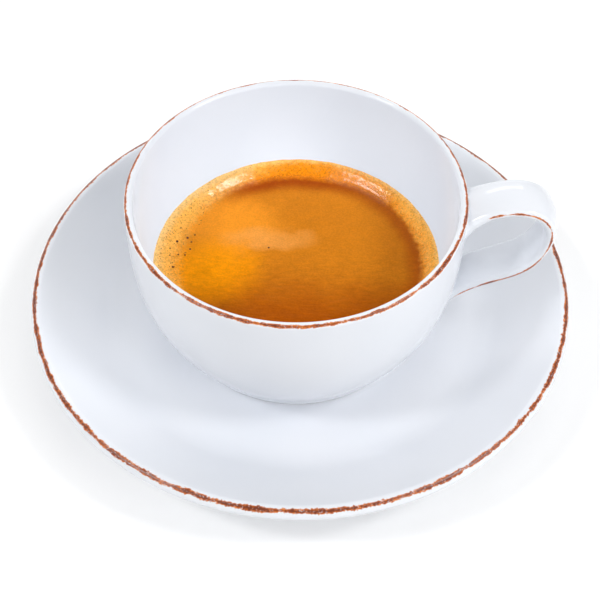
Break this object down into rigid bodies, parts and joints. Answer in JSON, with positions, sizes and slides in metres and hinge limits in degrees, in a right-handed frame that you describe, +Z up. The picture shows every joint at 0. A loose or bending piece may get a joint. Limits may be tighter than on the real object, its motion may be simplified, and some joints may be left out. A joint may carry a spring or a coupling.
{
  "type": "espresso shot in a porcelain cup on its saucer",
  "caption": "Espresso shot with crema in a low white porcelain cup with a strap handle, standing on its round saucer.",
  "frame": {"origin": "middle of the underside of the saucer's foot ring, on the table", "axes": "+Z up, +X along the cup's handle, +Y across it"},
  "size_m": [0.1216, 0.1216, 0.0474],
  "materials": {
    "porcelain": "gloss",
    "espresso": "crema"
  },
  "bodies": {
    "root": {"saucer": "porcelain", "cup": "porcelain", "espresso": "espresso"}
  },
  "joints": []
}
